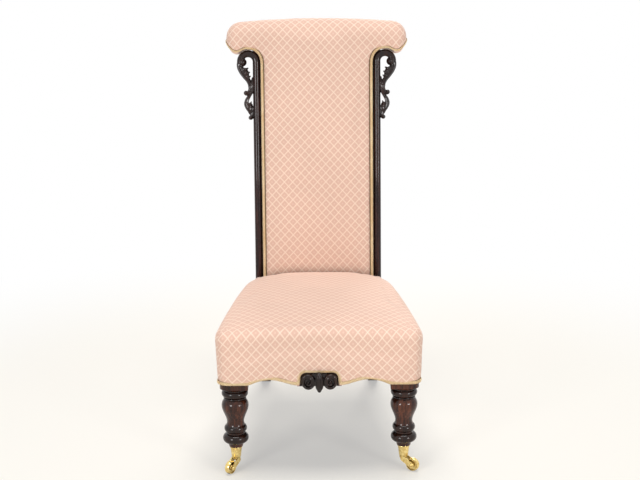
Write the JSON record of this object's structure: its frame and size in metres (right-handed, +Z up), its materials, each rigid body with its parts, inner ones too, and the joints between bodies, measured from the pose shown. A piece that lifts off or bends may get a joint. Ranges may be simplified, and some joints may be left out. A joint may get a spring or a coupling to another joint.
{
  "type": "prie-dieu chair",
  "caption": "Victorian prayer chair: low sprung seat, tall narrow padded back with a padded T top, turned front legs on swivelling brass casters, swept-back rear legs.",
  "frame": {"origin": "on the floor, under the middle of the chair's overall box", "axes": "+Z up, the chair faces -Y, +X to the right of a viewer facing the chair"},
  "size_m": [0.445, 0.6815, 0.9773],
  "materials": {
    "polished_hardwood": "french polished",
    "frame_wood": "unfinished beech",
    "brass": "polished",
    "steel": "dull",
    "trellis_fabric": "woven trellis",
    "braid": "ribbed gimp",
    "webbing": "herringbone jute",
    "hessian": "open plain weave",
    "stuffing": "wadding over hair",
    "dust_cloth": "plain calico"
  },
  "bodies": {
    "chair_frame": {"back_braid_front": "braid", "back_braid_rear": "braid", "back_cover": "trellis_fabric", "back_hessian": "hessian", "back_lower_rail": "frame_wood", "back_stuffing": "stuffing", "back_webbing_cross": "webbing", "back_webbing_upright": "webbing", "bracket_dowels": "frame_wood", "caster_cup_left": "brass", "caster_cup_right": "brass", "caster_screws_left": "brass", "caster_screws_right": "brass", "corner_block_screws": "steel", "corner_blocks": "frame_wood", "crest_board": "frame_wood", "crest_rail": "frame_wood", "crest_stuffing": "stuffing", "dust_cover": "dust_cloth", "dust_cover_tacks": "steel", "front_carving": "polished_hardwood", "front_leg_left": "polished_hardwood", "front_leg_right": "polished_hardwood", "front_seat_rail": "frame_wood", "outside_back": "trellis_fabric", "rear_post_left": "polished_hardwood", "rear_post_right": "polished_hardwood", "rear_seat_rail": "frame_wood", "scroll_bracket_left": "polished_hardwood", "scroll_bracket_right": "polished_hardwood", "seat_braid": "braid", "seat_cover": "trellis_fabric", "seat_hessian": "hessian", "seat_springs": "steel", "seat_stuffing": "stuffing", "seat_webbing_crosswise": "webbing", "seat_webbing_lengthwise": "webbing", "side_seat_rail_left": "frame_wood", "side_seat_rail_right": "frame_wood"},
    "caster_left": {"caster_horn_left": "brass", "caster_pin_left": "brass", "caster_washer_left": "brass", "caster_axle_left": "brass"},
    "wheel_left": {"caster_wheel_left": "brass"},
    "caster_right": {"caster_horn_right": "brass", "caster_pin_right": "brass", "caster_washer_right": "brass", "caster_axle_right": "brass"},
    "wheel_right": {"caster_wheel_right": "brass"}
  },
  "joints": [
    {"name": "caster_swivel_left", "type": "hinge", "parent": "chair_frame", "child": "caster_left", "pos_m": [-0.185, -0.292, 0.034], "axis": [0, 0, 1], "continuous": true},
    {"name": "caster_roll_left", "type": "hinge", "parent": "caster_left", "child": "wheel_left", "pos_m": [-0.19698, -0.31045, 0.015], "axis": [0.8387, -0.5446, 0], "continuous": true},
    {"name": "caster_swivel_right", "type": "hinge", "parent": "chair_frame", "child": "caster_right", "pos_m": [0.185, -0.292, 0.034], "axis": [0, 0, 1], "continuous": true},
    {"name": "caster_roll_right", "type": "hinge", "parent": "caster_right", "child": "wheel_right", "pos_m": [0.20442, -0.30233, 0.015], "axis": [0.4695, 0.8829, 0], "continuous": true}
  ]
}
